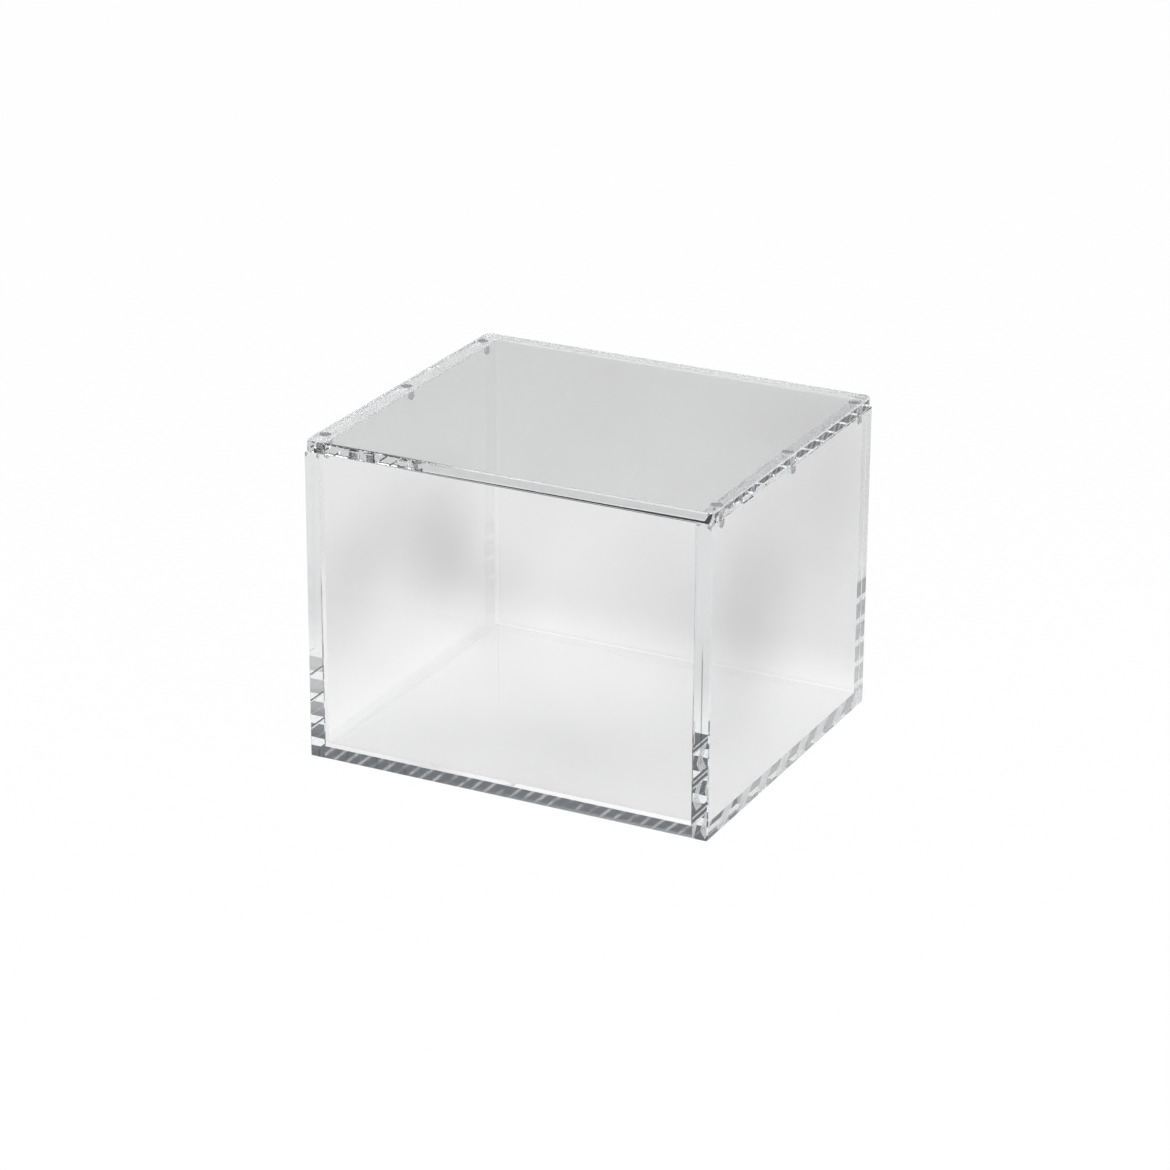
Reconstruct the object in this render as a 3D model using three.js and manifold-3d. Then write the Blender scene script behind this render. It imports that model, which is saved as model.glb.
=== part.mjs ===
// Clear acrylic display case: five cemented panels, and a loose lid held by six pairs of disc magnets.
// Millimetres, +Z up. The origin is on the table, under the middle of the case.
import * as THREE from "three";
import { mergeVertices } from "three/addons/utils/BufferGeometryUtils.js";
import Module from "manifold-3d";

// Driving dimensions, over the outside of the closed case
const caseWidth = 152;
const caseDepth = 131;
const caseHeight = 116;

// Sheet thicknesses: the side walls are thicker because they hold the magnets
const sideThickness = 6;
const frontThickness = 4;
const backThickness = 4;
const baseThickness = 4.5;
const lidThickness = 4;

// Polished edges of the side walls and the lid, and the lid's rounded plan corners
const edgeBreak = 0.35;
const lidCornerRadius = 3;
const lidCornerSteps = 8;

// Magnet pockets: a blind pocket leaves this much acrylic beside it in a wall and above it in the lid.
// The lid's pockets are milled flat; the walls' are drilled and keep the drill's point.
const pocketWall = 0.85;
const lidCover = 0.85;
const pocketClearance = 0.15; // all round a disc
const drillPointDegrees = 118;
const magnetSetback = 0.15; // a disc's face below the acrylic's, so that facing discs never touch
const caseMagnetHeight = 3;
const magnetEdgeBreak = 0.25;
const magnetEndInset = 9; // from the front and back faces to the outer magnets' axes
const magnetSides = 32;

// Sizes that follow
const wallHeight = caseHeight - lidThickness;
const endHeight = wallHeight - baseThickness;
const innerWidth = caseWidth - 2 * sideThickness;
const pocketRadius = sideThickness / 2 - pocketWall;
const magnetRadius = pocketRadius - pocketClearance;
const lidPocketDepth = lidThickness - lidCover;
const lidMagnetHeight = lidPocketDepth - magnetSetback;
const drillSlope = 1 / Math.tan((drillPointDegrees * Math.PI) / 360);
const drillPoint = pocketRadius * drillSlope;
const seatDrop = (pocketClearance + magnetEdgeBreak) * drillSlope; // where a disc's rim rests on the point
const caseMagnetDepth = caseMagnetHeight + magnetSetback;
const casePocketDepth = caseMagnetDepth - seatDrop;
const magnetX = caseWidth / 2 - sideThickness / 2; // in the middle of the side wall
const magnetY = caseDepth / 2 - magnetEndInset;

// Where the six magnet pairs stand
const magnetSites = [
  { name: "left_front", x: -magnetX, y: -magnetY },
  { name: "left_middle", x: -magnetX, y: 0 },
  { name: "left_back", x: -magnetX, y: magnetY },
  { name: "right_front", x: magnetX, y: -magnetY },
  { name: "right_middle", x: magnetX, y: 0 },
  { name: "right_back", x: magnetX, y: magnetY },
];

const acrylic = new THREE.MeshStandardMaterial({
  color: 0xf4f7f8,
  roughness: 0.04,
  metalness: 0,
  transparent: true,
  opacity: 0.25,
});
const nickel = new THREE.MeshStandardMaterial({ color: 0xb9babb, roughness: 0.22, metalness: 1 });

const wasm = await Module();
wasm.setup();

// A closed three.js geometry as a solid, and back
function toSolid(geometry) {
  const bare = geometry.clone();
  bare.deleteAttribute("normal");
  bare.deleteAttribute("uv");
  const merged = mergeVertices(bare);
  const vertProperties = Float32Array.from(merged.attributes.position.array);
  const triVerts = Uint32Array.from(merged.index.array);
  return new wasm.Manifold(new wasm.Mesh({ numProp: 3, vertProperties, triVerts }));
}

function toGeometry(solid) {
  const { vertProperties, triVerts } = solid.getMesh();
  const geometry = new THREE.BufferGeometry();
  geometry.setAttribute("position", new THREE.BufferAttribute(Float32Array.from(vertProperties), 3));
  geometry.setIndex(new THREE.BufferAttribute(Uint32Array.from(triVerts), 1));
  geometry.computeVertexNormals();
  return geometry;
}

// A rectangle with corners of the given radius, centred on the origin
function sheetOutline(width, height, radius) {
  const x = width / 2 - radius;
  const y = height / 2 - radius;
  const outline = new THREE.Shape();
  if (radius === 0) {
    outline.moveTo(-x, -y);
    outline.lineTo(x, -y);
    outline.lineTo(x, y);
    outline.lineTo(-x, y);
    return outline;
  }
  outline.absarc(x, -y, radius, -Math.PI / 2, 0);
  outline.absarc(x, y, radius, 0, Math.PI / 2);
  outline.absarc(-x, y, radius, Math.PI / 2, Math.PI);
  outline.absarc(-x, -y, radius, Math.PI, 1.5 * Math.PI);
  return outline;
}

// A cut sheet lying in XY, its faces' edges broken by a polished chamfer, with its underside at z = 0
function polishedSheet(width, height, thickness, radius = 0) {
  const inset = 2 * edgeBreak;
  const innerRadius = Math.max(radius - edgeBreak, 0);
  const sheet = new THREE.ExtrudeGeometry(sheetOutline(width - inset, height - inset, innerRadius), {
    depth: thickness - inset,
    bevelEnabled: true,
    bevelThickness: edgeBreak,
    bevelSize: edgeBreak,
    bevelSegments: 1,
    curveSegments: lidCornerSteps,
  });
  return sheet.translate(0, 0, edgeBreak);
}

// A side wall stood up across X, its lower edge on z = 0
function sideSheet() {
  const sheet = polishedSheet(caseDepth, wallHeight, sideThickness);
  sheet.rotateX(Math.PI / 2);
  sheet.rotateZ(Math.PI / 2);
  return sheet.translate(-sideThickness / 2, 0, wallHeight / 2);
}

// Cuts one upright round pocket for each site, from floorZ up to mouthZ, which runs past the open face.
// A point deepens the floor to a cone.
function cutPockets(geometry, sites, floorZ, mouthZ, point) {
  const profile = [
    new THREE.Vector2(0, floorZ - point),
    new THREE.Vector2(pocketRadius, floorZ),
    new THREE.Vector2(pocketRadius, mouthZ),
    new THREE.Vector2(0, mouthZ),
  ];
  let solid = toSolid(geometry);
  for (const site of sites) {
    const cutter = new THREE.LatheGeometry(profile, magnetSides).rotateX(Math.PI / 2);
    solid = solid.subtract(toSolid(cutter.translate(site.x, site.y, 0)));
  }
  return toGeometry(solid);
}

// A disc magnet with broken edges, standing on z = 0
function discMagnet(height) {
  const rim = magnetRadius - magnetEdgeBreak;
  const profile = [
    new THREE.Vector2(0, 0),
    new THREE.Vector2(rim, 0),
    new THREE.Vector2(magnetRadius, magnetEdgeBreak),
    new THREE.Vector2(magnetRadius, height - magnetEdgeBreak),
    new THREE.Vector2(rim, height),
    new THREE.Vector2(0, height),
  ];
  return new THREE.LatheGeometry(profile, magnetSides).rotateX(Math.PI / 2);
}

const part = new THREE.Group();

function addPiece(name, geometry, material, x = 0, y = 0, z = 0) {
  const mesh = new THREE.Mesh(geometry, material);
  mesh.name = name;
  mesh.position.set(x, y, z);
  part.add(mesh);
}

// Side walls: full height and depth, with pockets open at the top edge
for (const [name, side] of [["left_side_panel", -1], ["right_side_panel", 1]]) {
  const sites = magnetSites
    .filter((site) => Math.sign(site.x) === side)
    .map((site) => ({ x: 0, y: site.y }));
  const mouthZ = wallHeight + casePocketDepth;
  const wall = cutPockets(sideSheet(), sites, wallHeight - casePocketDepth, mouthZ, drillPoint);
  addPiece(name, wall, acrylic, side * magnetX);
}

// Base: full depth, cemented between the side walls; its edges and the end panels' are left square
const base = new THREE.BoxGeometry(innerWidth, caseDepth, baseThickness);
addPiece("base_panel", base, acrylic, 0, 0, baseThickness / 2);

// Front and back panels, cemented on the base between the side walls
const endMiddleZ = baseThickness + endHeight / 2;
const front = new THREE.BoxGeometry(innerWidth, frontThickness, endHeight);
addPiece("front_panel", front, acrylic, 0, (frontThickness - caseDepth) / 2, endMiddleZ);
const back = new THREE.BoxGeometry(innerWidth, backThickness, endHeight);
addPiece("back_panel", back, acrylic, 0, (caseDepth - backThickness) / 2, endMiddleZ);

// Lid: lies loose on the four walls, with pockets open at its underside
const lidSheet = polishedSheet(caseWidth, caseDepth, lidThickness, lidCornerRadius);
const lid = cutPockets(lidSheet, magnetSites, -lidPocketDepth, lidPocketDepth, 0);
addPiece("lid_panel", lid, acrylic, 0, 0, wallHeight);

// Facing discs of each pair: one against the lid pocket's end, one down on the wall pocket's point
for (const site of magnetSites) {
  const lidMagnetZ = wallHeight + magnetSetback;
  const caseMagnetZ = wallHeight - caseMagnetDepth;
  addPiece(`lid_magnet_${site.name}`, discMagnet(lidMagnetHeight), nickel, site.x, site.y, lidMagnetZ);
  addPiece(`case_magnet_${site.name}`, discMagnet(caseMagnetHeight), nickel, site.x, site.y, caseMagnetZ);
}

export default part;
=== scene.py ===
import bmesh
import bpy
import numpy as np
from mathutils import Matrix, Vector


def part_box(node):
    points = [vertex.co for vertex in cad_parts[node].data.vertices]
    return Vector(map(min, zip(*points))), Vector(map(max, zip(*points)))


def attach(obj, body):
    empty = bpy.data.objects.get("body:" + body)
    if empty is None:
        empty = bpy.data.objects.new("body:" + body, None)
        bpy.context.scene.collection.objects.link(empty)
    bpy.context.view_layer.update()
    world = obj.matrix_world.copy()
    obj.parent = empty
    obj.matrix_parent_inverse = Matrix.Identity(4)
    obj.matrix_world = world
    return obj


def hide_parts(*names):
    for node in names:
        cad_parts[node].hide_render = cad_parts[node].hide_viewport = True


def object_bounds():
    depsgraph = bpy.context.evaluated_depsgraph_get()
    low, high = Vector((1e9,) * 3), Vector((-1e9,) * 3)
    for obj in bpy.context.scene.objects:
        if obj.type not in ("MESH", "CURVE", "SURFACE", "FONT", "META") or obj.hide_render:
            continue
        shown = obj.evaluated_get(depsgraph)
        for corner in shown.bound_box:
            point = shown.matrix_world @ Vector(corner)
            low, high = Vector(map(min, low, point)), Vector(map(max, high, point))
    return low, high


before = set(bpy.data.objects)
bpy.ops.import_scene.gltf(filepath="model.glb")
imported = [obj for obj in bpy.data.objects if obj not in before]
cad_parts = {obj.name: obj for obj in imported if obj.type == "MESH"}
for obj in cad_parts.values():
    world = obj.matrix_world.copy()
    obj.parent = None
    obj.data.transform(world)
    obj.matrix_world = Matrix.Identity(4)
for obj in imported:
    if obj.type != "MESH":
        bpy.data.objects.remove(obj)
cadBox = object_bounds()
mm = 0.001
baseLow, baseHigh = (np.array(corner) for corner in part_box("base_panel"))
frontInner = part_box("front_panel")[1].y
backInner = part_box("back_panel")[0].y
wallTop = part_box("back_panel")[1].z
print("frame loaded:", len(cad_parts), "nodes")


# Shader maths: a socket that adds Math nodes when it is used in an expression
class Wire:
    def __init__(self, tree, socket):
        self.tree = tree
        self.socket = socket

    # Any node: its settings first, then the values or wires of its sockets, by name or by number
    @staticmethod
    def node(tree, kind, settings=None, inputs=None, out=0):
        made = tree.nodes.new(kind)
        for key, value in (settings or {}).items():
            if key == "stops":
                Wire.setStops(made.color_ramp, value)
            else:
                setattr(made, key, value)
        for key, value in (inputs or {}).items():
            if isinstance(value, Wire):
                tree.links.new(value.socket, made.inputs[key])
            else:
                made.inputs[key].default_value = value
        return Wire(tree, made.outputs[out]) if made.outputs else made

    @staticmethod
    def setStops(ramp, stops):
        while len(ramp.elements) < len(stops):
            ramp.elements.new(1)
        for element, (position, color) in zip(ramp.elements, stops):
            element.position = position
            element.color = color

    def math(self, operation, first, second=None):
        inputs = {0: first} if second is None else {0: first, 1: second}
        return Wire.node(self.tree, "ShaderNodeMath", {"operation": operation}, inputs)

    def __add__(self, other):
        return self.math("ADD", self, other)

    def __radd__(self, other):
        return self.math("ADD", other, self)

    def __sub__(self, other):
        return self.math("SUBTRACT", self, other)

    def __rsub__(self, other):
        return self.math("SUBTRACT", other, self)

    def __mul__(self, other):
        return self.math("MULTIPLY", self, other)

    def __rmul__(self, other):
        return self.math("MULTIPLY", other, self)

    def __truediv__(self, other):
        return self.math("DIVIDE", self, other)

    def __rtruediv__(self, other):
        return self.math("DIVIDE", other, self)

    # 0 below low, 1 above high, smooth between
    def rise(self, low, high):
        settings = {"interpolation_type": "SMOOTHSTEP"}
        return Wire.node(self.tree, "ShaderNodeMapRange", settings, {"Value": self, 1: low, 2: high})

    def noise(self, scale, detail=2.0, roughness=0.5):
        inputs = {"Vector": self, "Scale": scale, "Detail": detail, "Roughness": roughness}
        return Wire.node(self.tree, "ShaderNodeTexNoise", None, inputs)

    # A slow shift by noise, up to reach
    def wander(self, scale, reach):
        return self.noise(scale) * reach

    # Whole patches and gaps, by noise
    def patches(self, scale, low, high):
        return self.noise(scale).rise(low, high)

    # Distance from a point
    def away(self, point):
        settings = {"operation": "DISTANCE"}
        return Wire.node(self.tree, "ShaderNodeVectorMath", settings, {0: self, 1: point}, "Value")

    def axes(self):
        split = self.tree.nodes.new("ShaderNodeSeparateXYZ")
        self.tree.links.new(self.socket, split.inputs[0])
        return [Wire(self.tree, output) for output in split.outputs]

    def ramp(self, stops):
        return Wire.node(self.tree, "ShaderNodeValToRGB", {"stops": stops}, {"Fac": self})


def newMaterial(name):
    material = bpy.data.materials.new(name)
    material.use_nodes = True
    material.node_tree.nodes.clear()
    return material, material.node_tree


# Clear cast acrylic. Face attributes of a sheet say what differs: "grey" where painted shade darkens it,
# "chalk" where it is scraped, "dust" where it is dusty outside, "sawn" on cut edges, "bond" where cement
# fills a joint and "runs" where it filled it unevenly.
acrylic = {
    "ior": 1.49,
    "absorbColor": (0.855, 0.87, 0.875, 1),
    "absorbDensity": 7.0,    # per metre
    "smudgeSize": 9,         # smudges per metre
    "smudgeFrom": (0.42, 0.72),  # noise where a smudge starts and is full
    "smudgeRoughness": 0.012,
    "smudgeLoss": 0.04,      # light lost at a face, in a smudge
    "paintedShadeSpotLoss": 0.105,      # and in a spot of painted shade, which fades from its middle to its radius
    # Painted shade: soft dark spots on the left, back and right walls, standing in for shadow and dim floor
    # seen through them
    "paintedShadeSpots": [((-0.073, -0.046, 0.062), 0.036), ((-0.073, -0.020, 0.066), 0.036),
               ((-0.073, 0.003, 0.062), 0.036), ((-0.073, 0.020, 0.050), 0.034),
               ((-0.073, 0.037, 0.034), 0.030), ((-0.073, 0.058, 0.016), 0.030),
               ((-0.073, 0.027, 0.049), 0.040), ((0.005, 0.098, 0.014), 0.066),
               ((0.073, -0.035, 0.074), 0.055), ((0.073, 0.032, 0.088), 0.060),
               ((0.092, -0.027, 0.065), 0.060)],
    "markPitch": 4.87 * mm,  # of the cutter's marks
    "markSlope": 0.924,      # rise over run
    "markWidth": 0.27,       # of the pitch
    "markStrength": 0.38,
    "markWander": (70, 0.3),  # waves per metre, and how far they shift a mark, of the pitch
    "markBreaks": (150, 0.25, 0.6),  # waves per metre, and noise where a mark is broken and whole
    "scuffStrength": 0.25,   # along the foot of the edge
    "scuffHeight": (0.4 * mm, 1.8 * mm),  # where it is full and where it ends
    "scuffFade": (-0.05, 0.05),  # x where it starts and is full
    "runPitch": 16 * mm,     # of the uneven runs of cement
    "runWidth": 0.27,        # of the pitch
    "runStrength": 0.8,
    "runWander": (60, 0.3),
    "runEdge": 0.25,         # soft share of a run
    "hairlines": [-70.35 * mm, 73.1 * mm],  # x of fine dark lines up the walls' front ends
    "hairWidth": 0.4 * mm,
    "hairDepth": (0.3 * mm, 0.2 * mm),  # behind the front, where a line ends and is full
    "hairFrom": (26 * mm, 28 * mm),     # heights where it starts and is full
    "hairTo": (62 * mm, 72 * mm),       # and where it fades and ends
    "hairBreaks": (45, 0.3, 0.55),
    "hairLoss": 0.75,
    "lidDust": 0.17,         # on the lid's top
    "lidRim": 0.7,           # and on its broken upper edges, but for the front
    "lidEdgeShade": 0.34,         # painted shade at its front edge
    "rightEndShade": 0.07,        # and painted shade at the right wall's front end
    "scrapedTop": 0.85,      # top edges of the left and back walls
    "dullShare": (0.85, 0.3),  # of scraped and dusty faces, and what a smudge adds
    "chalkColor": (0.95, 0.955, 0.96, 1),
}


# Slanting marks of the cutter along an edge, and a scuffed strip at its foot
def sawMarks(place):
    x, y, z = place.axes()
    turn = (x + y - z / acrylic["markSlope"]) / acrylic["markPitch"] + place.wander(*acrylic["markWander"])
    nearness = 1 - turn.math("PINGPONG", turn, 0.5) / acrylic["markWidth"]
    mark = nearness.rise(0, 1) * place.patches(*acrylic["markBreaks"]) * acrylic["markStrength"]
    scuff = (1 - z.rise(*acrylic["scuffHeight"])) * x.rise(*acrylic["scuffFade"]) * acrylic["scuffStrength"]
    return mark.math("MAXIMUM", mark, scuff)


# Slanting patches where the cement of a joint ran unevenly
def cementRuns(place):
    y, z = place.axes()[1:]
    turn = (y - z / acrylic["markSlope"]) / acrylic["runPitch"] + place.wander(*acrylic["runWander"])
    nearness = 1 - turn.math("PINGPONG", turn, 0.5) / acrylic["runWidth"]
    return nearness.rise(0, acrylic["runEdge"]) * acrylic["runStrength"]


# A fine broken line up the front end of a wall
def hairline(place, across):
    x, y, z = place.axes()
    offset = x - across
    near = (1 - offset.math("ABSOLUTE", offset) / acrylic["hairWidth"]).rise(0, 1)
    end = (0 - y).rise(*(-baseLow[1] - depth for depth in acrylic["hairDepth"]))
    span = z.rise(*acrylic["hairFrom"]) * (1 - z.rise(*acrylic["hairTo"]))
    return near * end * span * place.patches(*acrylic["hairBreaks"])


def acrylicMaterial():
    material, tree = newMaterial("clearAcrylic")
    grey, chalk, dust, sawn, bond, runs = (
        Wire.node(tree, "ShaderNodeAttribute", {"attribute_name": name}, out="Fac")
        for name in ("grey", "chalk", "dust", "sawn", "bond", "runs"))
    within = Wire.node(tree, "ShaderNodeNewGeometry", out="Backfacing")
    place = Wire.node(tree, "ShaderNodeTexCoord", out="Object")
    smudge = place.noise(acrylic["smudgeSize"], 3, 0.55).rise(*acrylic["smudgeFrom"])
    # Base Color darkened by random smudges, painted shade on faces, spots of painted shade and hairlines
    smudgesAndPaintedShade = grey + smudge * acrylic["smudgeLoss"]
    # spots of painted shade
    for middle, radius in acrylic["paintedShadeSpots"]:
        smudgesAndPaintedShade = smudgesAndPaintedShade + (1 - place.away(middle).rise(0, radius)) * acrylic["paintedShadeSpotLoss"]
    for across in acrylic["hairlines"]:
        smudgesAndPaintedShade = smudgesAndPaintedShade + hairline(place, across) * acrylic["hairLoss"]
    inputs = {
        "Base Color": 1 - smudgesAndPaintedShade,
        "Roughness": smudge * acrylic["smudgeRoughness"],
        "IOR": acrylic["ior"],
        "Transmission Weight": 1.0,
    }
    polished = Wire.node(tree, "ShaderNodeBsdfPrincipled", None, inputs)
    filled = Wire.node(tree, "ShaderNodeBsdfTransparent")
    clear = Wire.node(tree, "ShaderNodeMixShader", None, {0: bond, 1: polished, 2: filled})
    dull = Wire.node(tree, "ShaderNodeBsdfDiffuse", None, {"Color": acrylic["chalkColor"]})
    share = sawn * sawMarks(place) + runs * cementRuns(place)
    plain, added = acrylic["dullShare"]
    share = share + (chalk + dust * (1 - within)) * (plain + smudge * added)
    surface = Wire.node(tree, "ShaderNodeMixShader", None, {0: share, 1: clear, 2: dull})
    inside = Wire.node(tree, "ShaderNodeVolumeAbsorption", None,
                       {"Color": acrylic["absorbColor"], "Density": acrylic["absorbDensity"]})
    Wire.node(tree, "ShaderNodeOutputMaterial", None, {"Surface": surface, "Volume": inside})
    return material


# Nickel plate, dull where it is stained
nickel = {
    "bright": (0.66, 0.66, 0.67, 1),
    "dull": (0.50, 0.50, 0.52, 1),
    "roughness": 0.3,
    "roughnessSpread": 0.2,
    "stainSize": 900,            # stains per metre
    "stainStops": (0.35, 0.65),  # noise where the plate is dull and bright
}


def nickelMaterial():
    material, tree = newMaterial("nickelPlate")
    place = Wire.node(tree, "ShaderNodeTexCoord", out="Object")
    stain = place.noise(nickel["stainSize"], 5, 0.65)
    dullAt, brightAt = nickel["stainStops"]
    inputs = {
        "Base Color": stain.ramp([(dullAt, nickel["dull"]), (brightAt, nickel["bright"])]),
        "Metallic": 1.0,
        "Roughness": stain * nickel["roughnessSpread"] + nickel["roughness"],
    }
    surface = Wire.node(tree, "ShaderNodeBsdfPrincipled", None, inputs)
    Wire.node(tree, "ShaderNodeOutputMaterial", None, {"Surface": surface})
    return material


clearAcrylic = acrylicMaterial()
nickelPlate = nickelMaterial()
print("materials made")


# Panels: the sheets as cut, with each joint face drawn back from its neighbour (air) or run into it (cement)
panels = {
    "airFilm": -0.04 * mm,   # dry joints of the end panels
    "cement": 0.04 * mm,     # back panel into the base and the left wall, wetted out clear
    "footRise": 0.30 * mm,   # of the front panel's foot, from front to back
    "fillet": 0.36 * mm,     # base into the side walls, past their broken edges
    "lidRest": -0.05 * mm,   # film of air under the loose lid
    "underside": 0.06 * mm,  # base's face above the walls' feet
    "topDepth": 0.5 * mm,    # faces this near the top belong to the top edge
    "grey": 0.04,            # painted shade at a wall's face
    "rightPaintedShade": 0.085,      # and darker painted shade at the right wall's
    "mergeDistance": 0.001 * mm,
    "flatAngle": 0.001,      # faces that turn less, in radians, are one
}

# Least share of a normal along an axis
facing = 0.9      # plain faces
slanting = 0.5    # and their broken edges
frontRound = 0.6  # and the start of the lid's round corners


# A merged copy of a CAD sheet. A cut is (axis, plane) and splits the faces there; a move is (axis, plane,
# distance) and shifts the vertices on that plane, by a number or by a function of their places; a mark names
# a face attribute and gives its values.
def sheetPiece(name, node, body, cuts, moves, marks):
    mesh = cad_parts[node].data.copy()
    work = bmesh.new()
    work.from_mesh(mesh)
    bmesh.ops.remove_doubles(work, verts=work.verts, dist=panels["mergeDistance"])
    bmesh.ops.dissolve_limit(work, angle_limit=panels["flatAngle"], verts=work.verts, edges=work.edges)
    for axis, plane in cuts:
        across = np.eye(3)[axis]
        parts = work.verts[:] + work.edges[:] + work.faces[:]
        bmesh.ops.bisect_plane(work, geom=parts, plane_co=across * plane, plane_no=across)
    work.to_mesh(mesh)
    work.free()
    places = np.empty(len(mesh.vertices) * 3, np.float32)
    mesh.vertices.foreach_get("co", places)
    places = places.reshape(-1, 3).astype(float)
    for axis, plane, distance in moves:
        chosen = np.abs(places[:, axis] - plane) < panels["mergeDistance"]
        places[chosen, axis] += distance(places[chosen]) if callable(distance) else distance
    mesh.vertices.foreach_set("co", places.astype(np.float32).ravel())
    mesh.shade_flat()
    mesh.materials.clear()
    mesh.materials.append(clearAcrylic)
    normals = np.empty(len(mesh.polygons) * 3, np.float32)
    centers = np.empty(len(mesh.polygons) * 3, np.float32)
    mesh.polygons.foreach_get("normal", normals)
    mesh.polygons.foreach_get("center", centers)
    for mark, picks in marks.items():
        chosen = picks(normals.reshape(-1, 3), centers.reshape(-1, 3)).astype(np.float32)
        mesh.attributes.new(mark, "FLOAT", "FACE").data.foreach_set("value", chosen)
    mesh.update()
    piece = bpy.data.objects.new(name, mesh)
    bpy.context.scene.collection.objects.link(piece)
    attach(piece, body)
    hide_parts(node)


# Faces of a wall's top edge, with its broken corners
def topEdge(normals, centers):
    return (normals[:, 2] > slanting) & (centers[:, 2] > wallTop - panels["topDepth"])


# The front panel's foot is sawn a little out of square and stands dry on its front edge
def frontFoot(places):
    inward = (places[:, 1] - baseLow[1]) / (frontInner - baseLow[1])
    return panels["footRise"] * inward - panels["airFilm"]


# A side wall is cemented to the base along its foot and, where bonded, to the back panel
# Its faces and its front end are darkened by painted shade
def sideWall(name, node, scraped, grey, endPaintedShade, bonded):
    cuts = [(2, baseHigh[2]), (1, backInner)]
    sheetPiece(name, node, "case", cuts, [(2, wallTop, panels["lidRest"])], {
        # painted shade on its faces and its front end
        "grey": lambda normals, centers: (np.abs(normals[:, 0]) > facing) * grey
        + (normals[:, 1] < -facing) * endPaintedShade,
        "chalk": lambda normals, centers: topEdge(normals, centers) * scraped,
        "bond": lambda normals, centers: (np.abs(normals[:, 0]) > slanting)
        & (np.abs(centers[:, 0]) < baseHigh[0] + panels["fillet"])
        & ((centers[:, 2] < baseHigh[2]) | (centers[:, 1] > backInner) * bonded),
    })


# An end panel stands on the base between the side walls. The back one is cemented there and to the left wall,
# the front one is dry at the joint faces.
def endPanel(name, node, scraped, foot, left, bonded):
    low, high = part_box(node)
    moves = [(0, low.x, -left), (0, high.x, panels["airFilm"])]
    moves += [(2, low.z, foot), (2, wallTop, panels["lidRest"])]
    sheetPiece(name, node, "case", [], moves, {
        # painted shade on its faces
        "grey": lambda normals, centers: (np.abs(normals[:, 1]) > facing) * panels["grey"],
        "chalk": lambda normals, centers: topEdge(normals, centers) * scraped,
        "bond": lambda normals, centers: ((normals[:, 2] < -facing) | (normals[:, 0] < -facing)) * bonded,
    })


sideWall("leftSide", "left_side_panel", acrylic["scrapedTop"], panels["grey"], 0, True)
sideWall("rightSide", "right_side_panel", 0, panels["rightPaintedShade"], acrylic["rightEndShade"], False)
endPanel("frontSheet", "front_panel", 0, frontFoot, panels["airFilm"], False)
endPanel("backSheet", "back_panel", acrylic["scrapedTop"], -panels["cement"], panels["cement"], True)
baseMoves = [(0, baseLow[0], -panels["fillet"]), (0, baseHigh[0], panels["fillet"])]
baseMoves += [(2, baseLow[2], panels["underside"])]
sheetPiece("baseSheet", "base_panel", "case", [(1, backInner)], baseMoves, {
    "sawn": lambda normals, centers: normals[:, 1] < -facing,
    "runs": lambda normals, centers: normals[:, 0] > facing,
    "bond": lambda normals, centers: (np.abs(normals[:, 0]) > facing)
    | (normals[:, 2] > facing) & (centers[:, 1] > backInner),
})
sheetPiece("lidSheet", "lid_panel", "lid", [], [], {
    # painted shade at the lid's front edge
    "grey": lambda normals, centers: (normals[:, 1] < -frontRound) * acrylic["lidEdgeShade"],
    "sawn": lambda normals, centers: normals[:, 0] > facing,
    "dust": lambda normals, centers: np.select(
        [normals[:, 2] > facing, normals[:, 1] < -frontRound, normals[:, 2] > slanting],
        [acrylic["lidDust"], 0, acrylic["lidRim"]]),
})
print("panels made")


# A surface of revolution, point(u, v) = r(v) * (cos u, sin u) at height z(v): its points, their numbers ring
# by ring, and the faces between rings, which look outwards where the height rises
def revolved(radius, height, around):
    angle = np.linspace(0, 2 * np.pi, around, endpoint=False)
    x = radius[:, None] * np.cos(angle)
    y = radius[:, None] * np.sin(angle)
    z = np.broadcast_to(height[:, None], x.shape)
    points = np.stack([x, y, z], -1).reshape(-1, 3)
    index = np.arange(x.size).reshape(x.shape)
    after = np.roll(index, -1, axis=1)
    walls = np.stack([index[:-1], after[:-1], after[1:], index[1:]], -1).reshape(-1, 4)
    return points, index, walls


# Disc magnets: a profile with rounded rims, turned about the disc's axis
magnets = {
    "rim": 0.28 * mm,
    "seat": 0.03 * mm,  # clear of the pocket's end
    "around": 48,
    "rimSteps": 6,
    "sharpAngle": 40,   # degrees
}


def discMagnet(node, body):
    low, high = (np.array(corner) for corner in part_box(node))
    middle = (low + high) / 2
    rim = magnets["rim"]
    radius = (high[0] - low[0]) / 2
    bottom, top = low[2] + magnets["seat"], high[2] - magnets["seat"]
    turn = np.linspace(0, np.pi / 2, magnets["rimSteps"])
    lowerRim = np.stack([radius - rim + rim * np.sin(turn), bottom + rim - rim * np.cos(turn)], 1)
    upperRim = np.stack([radius - rim + rim * np.cos(turn), top - rim + rim * np.sin(turn)], 1)
    profile = np.concatenate([lowerRim, upperRim])
    points, index, walls = revolved(profile[:, 0], profile[:, 1], magnets["around"])
    points[:, :2] += middle[:2]
    faces = walls.tolist() + [index[0, ::-1].tolist(), index[-1].tolist()]
    mesh = bpy.data.meshes.new(node + "_disc")
    mesh.from_pydata(points.tolist(), [], faces)
    mesh.shade_smooth()
    mesh.set_sharp_from_angle(angle=np.radians(magnets["sharpAngle"]))
    mesh.materials.append(nickelPlate)
    piece = bpy.data.objects.new(node + "_disc", mesh)
    bpy.context.scene.collection.objects.link(piece)
    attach(piece, body)
    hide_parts(node)


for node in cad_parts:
    if "_magnet_" in node:
        discMagnet(node, "lid" if node.startswith("lid") else "case")
print("magnets made")


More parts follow.
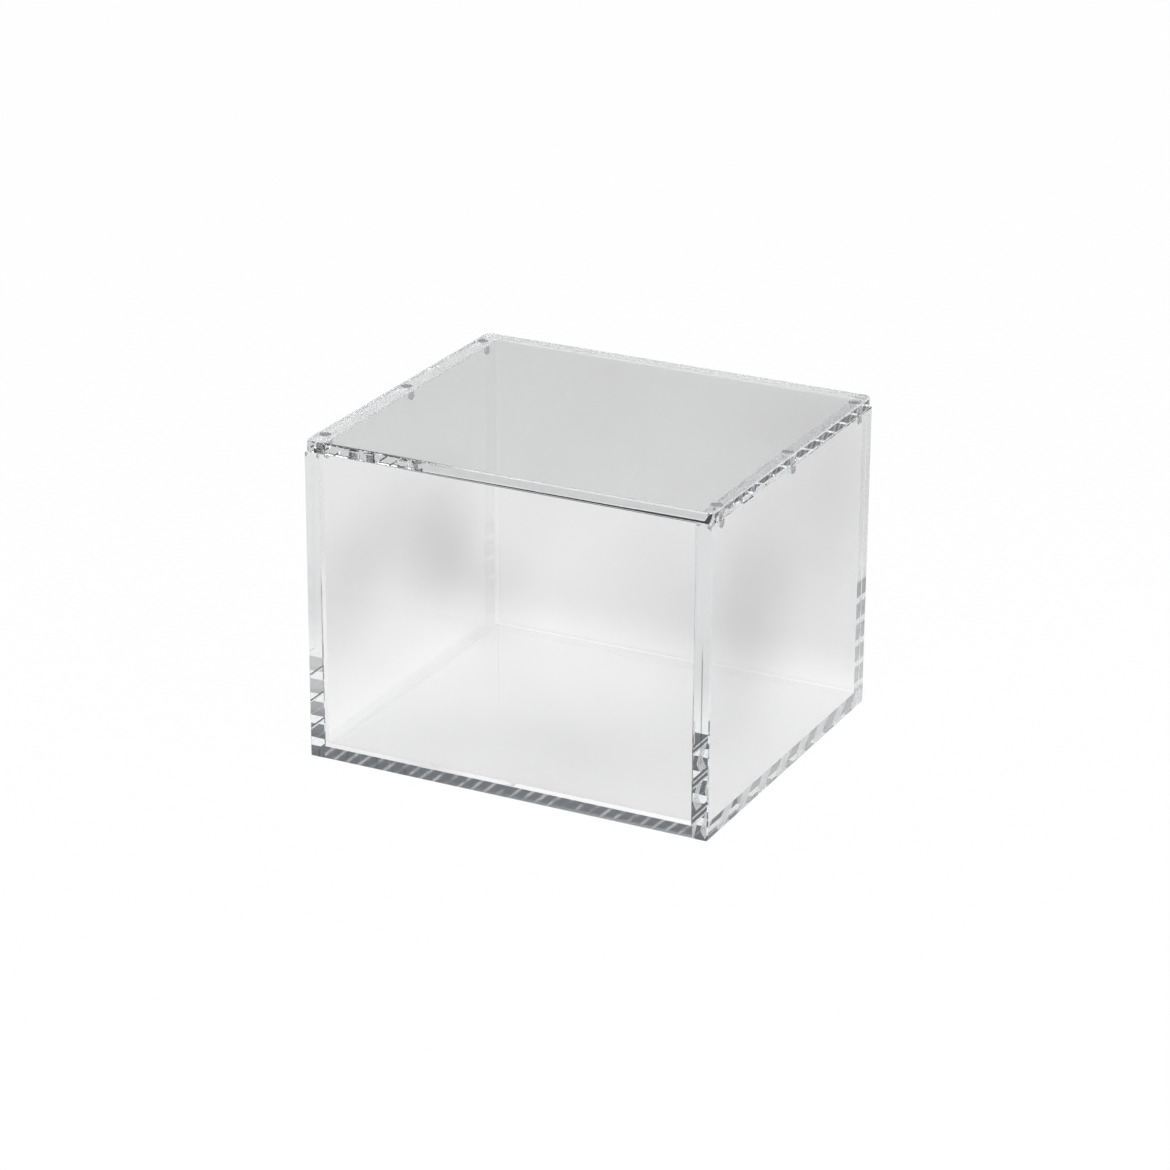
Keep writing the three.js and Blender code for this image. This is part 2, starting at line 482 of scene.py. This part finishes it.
# Floor: a pale disc that curves up far away, z = rise * ((r - flat) / (edge - flat))^2 past the flat part
floor = {
    "color": (0.9, 0.9, 0.9, 1),
    "seenWhite": 0.95,     # share of plain white where the camera looks at it
    "throughWhite": 0.93,  # and where it shows in metal or through the acrylic
    "paintedPoolWhite": 1.05,     # as a painted pool of light, which falls off from the case outward
    "paintedPoolEnd": 0.875,      # to this
    "paintedPoolWidth": 0.05,
    "paintedPoolDim": 0.87,       # and on to this painted shade, far behind
    "paintedPoolFar": (0.12, 0.32),
    "middle": 0.3,         # radius of the innermost ring, in metres
    "flat": 2.2,
    "edge": 5.0,
    "rise": 0.9,
    "drop": 0.1 * mm,      # clear of the underside
    "rings": 40,
    "around": 96,
}


def studioFloor():
    radius = np.concatenate([[floor["middle"]], np.linspace(floor["flat"], floor["edge"], floor["rings"])])
    past = np.clip((radius - floor["flat"]) / (floor["edge"] - floor["flat"]), 0, 1)
    height = floor["rise"] * past ** 2 - floor["drop"]
    points, index, walls = revolved(radius, height, floor["around"])
    upward = walls[:, [0, 3, 2, 1]]  # the other way round, to look up
    mesh = bpy.data.meshes.new("studioFloor")
    mesh.from_pydata(points.tolist(), [], upward.tolist() + [index[0].tolist()])
    mesh.shade_smooth()
    material, tree = newMaterial("palePaper")
    path = tree.nodes.new("ShaderNodeLightPath")
    seen, glossy, through = (Wire(tree, path.outputs[key])
                             for key in ("Is Camera Ray", "Is Glossy Ray", "Is Transmission Ray"))
    behind = glossy.math("MAXIMUM", glossy, through) * floor["throughWhite"]
    share = seen * floor["seenWhite"] + (1 - seen) * behind
    # A painted pool of light round the case, darker farther out, seen in metal and through the acrylic
    x, y = Wire.node(tree, "ShaderNodeTexCoord", out="Object").axes()[:2]
    outX = x.math("ABSOLUTE", x) - cadBox[1][0]
    outY = y.math("ABSOLUTE", y) - cadBox[1][1]
    outside = outX.math("MAXIMUM", outX, outY)
    paintedPool = floor["paintedPoolWhite"] + outside.rise(0, floor["paintedPoolWidth"]) * (floor["paintedPoolEnd"] - floor["paintedPoolWhite"])
    paintedPool = paintedPool + outside.rise(*floor["paintedPoolFar"]) * (floor["paintedPoolDim"] - floor["paintedPoolEnd"])
    paintedPool = seen + (1 - seen) * paintedPool
    paper = Wire.node(tree, "ShaderNodeBsdfDiffuse", None, {"Color": floor["color"]})
    white = Wire.node(tree, "ShaderNodeEmission", None, {"Color": paintedPool})
    surface = Wire.node(tree, "ShaderNodeMixShader", None, {0: share, 1: paper, 2: white})
    Wire.node(tree, "ShaderNodeOutputMaterial", None, {"Surface": surface})
    mesh.materials.append(material)
    piece = bpy.data.objects.new("studioFloor", mesh)
    bpy.context.scene.collection.objects.link(piece)


# Studio light: a broad soft ceiling over a dim room, light walls in front, and a soft lamp at the front right
studio = {
    "ceiling": 1.2,
    "room": 0.17,
    "roomLow": 0.04,      # low on the horizon
    "roomFrom": (0.355, 0.38),   # sine of the elevation where a light starts and is full
    "front": 0.35,        # light walls in front
    "frontFrom": (0.36, 0.40),
    "frontSpread": (-0.2, 0.8),  # share of the direction forwards where they start and are full
    "window": 0.5,        # a strip of light behind the case
    "windowFrom": (0.357, 0.375),
    "windowTo": (0.39, 0.41),
    "windowSpread": (0, 0.4),    # the same backwards
    "roomColor": (0.84, 0.91, 1.0, 1),
    "ceilingColor": (1.0, 1.0, 1.0, 1),
    "ceilingFrom": (0.50, 0.66),
    "paleFrom": 0.6,      # level at which the room's tint is gone
    "lampPlace": (0.45, -0.60, 1.0),
    "lampSize": 0.8,
    "lampPower": 4.0,     # W
    "bounces": 64,        # light runs the length of a sheet by many inner reflections
}


def studioWorld():
    world = bpy.data.worlds.new("studio")
    world.use_nodes = True
    tree = world.node_tree
    tree.nodes.clear()
    y, z = Wire.node(tree, "ShaderNodeTexCoord", out="Generated").axes()[1:]
    ceiling = z.rise(*studio["ceilingFrom"])
    front = (0 - y).rise(*studio["frontSpread"]) * z.rise(*studio["frontFrom"])
    window = z.rise(*studio["windowFrom"]) * (1 - z.rise(*studio["windowTo"]))
    window = y.rise(*studio["windowSpread"]) * window
    room = studio["roomLow"] + z.rise(*studio["roomFrom"]) * (studio["room"] - studio["roomLow"])
    sides = room + front * studio["front"] + window * studio["window"]
    level = sides + ceiling * (studio["ceiling"] - sides)
    pale = level.rise(0, studio["paleFrom"])
    color = pale.ramp([(0, studio["roomColor"]), (1, studio["ceilingColor"])])
    light = Wire.node(tree, "ShaderNodeBackground", None, {"Color": color, "Strength": level})
    Wire.node(tree, "ShaderNodeOutputWorld", None, {"Surface": light})
    bpy.context.scene.world = world


def studioLamp():
    lamp = bpy.data.lights.new("softLamp", "AREA")
    lamp.shape = "DISK"
    lamp.size = studio["lampSize"]
    lamp.energy = studio["lampPower"]
    holder = bpy.data.objects.new("softLamp", lamp)
    bpy.context.scene.collection.objects.link(holder)
    holder.location = studio["lampPlace"]


# Camera: fitted to the box's corners in the photograph, 1170 px square
camera = {
    "focalPixels": 3967.7,
    "imagePixels": 1170,
    "sensor": 36,          # mm
    "azimuth": 26.57,      # degrees
    "elevation": 21.72,
    "roll": 0.32,
    "distance": 9.073,     # times the case's width
    "offsetRight": 7.05,   # px from the middle of the image to the box's centre
    "offsetDown": 10.07,
    "clipStart": 0.05,     # m
}


def photoCamera():
    low, high = (np.array(corner) for corner in cadBox)
    azimuth, elevation, roll = (np.radians(camera[key]) for key in ("azimuth", "elevation", "roll"))
    level = np.array([np.cos(azimuth), np.sin(azimuth), 0])
    outward = np.array([np.sin(azimuth), -np.cos(azimuth), 0])
    backward = np.cos(elevation) * outward + np.sin(elevation) * np.array([0, 0, 1])
    upright = np.cross(backward, level)
    right = np.cos(roll) * level + np.sin(roll) * upright
    up = np.cos(roll) * upright - np.sin(roll) * level
    place = (low + high) / 2 + backward * camera["distance"] * (high[0] - low[0])
    lens = bpy.data.cameras.new("photoCamera")
    lens.sensor_width = camera["sensor"]
    lens.lens = camera["sensor"] * camera["focalPixels"] / camera["imagePixels"]
    lens.shift_x = -camera["offsetRight"] / camera["imagePixels"]
    lens.shift_y = -camera["offsetDown"] / camera["imagePixels"]
    lens.clip_start = camera["clipStart"]
    holder = bpy.data.objects.new("photoCamera", lens)
    bpy.context.scene.collection.objects.link(holder)
    holder.matrix_world = Matrix(np.column_stack([right, up, backward, place]).tolist() + [[0, 0, 0, 1]])
    bpy.context.scene.camera = holder


studioFloor()
studioWorld()
studioLamp()
photoCamera()
scene = bpy.context.scene
scene.view_settings.view_transform = "Standard"
scene.cycles.max_bounces = studio["bounces"]
scene.cycles.transmission_bounces = studio["bounces"]
scene.cycles.glossy_bounces = studio["bounces"]
scene.cycles.blur_glossy = 0
print("studio made")
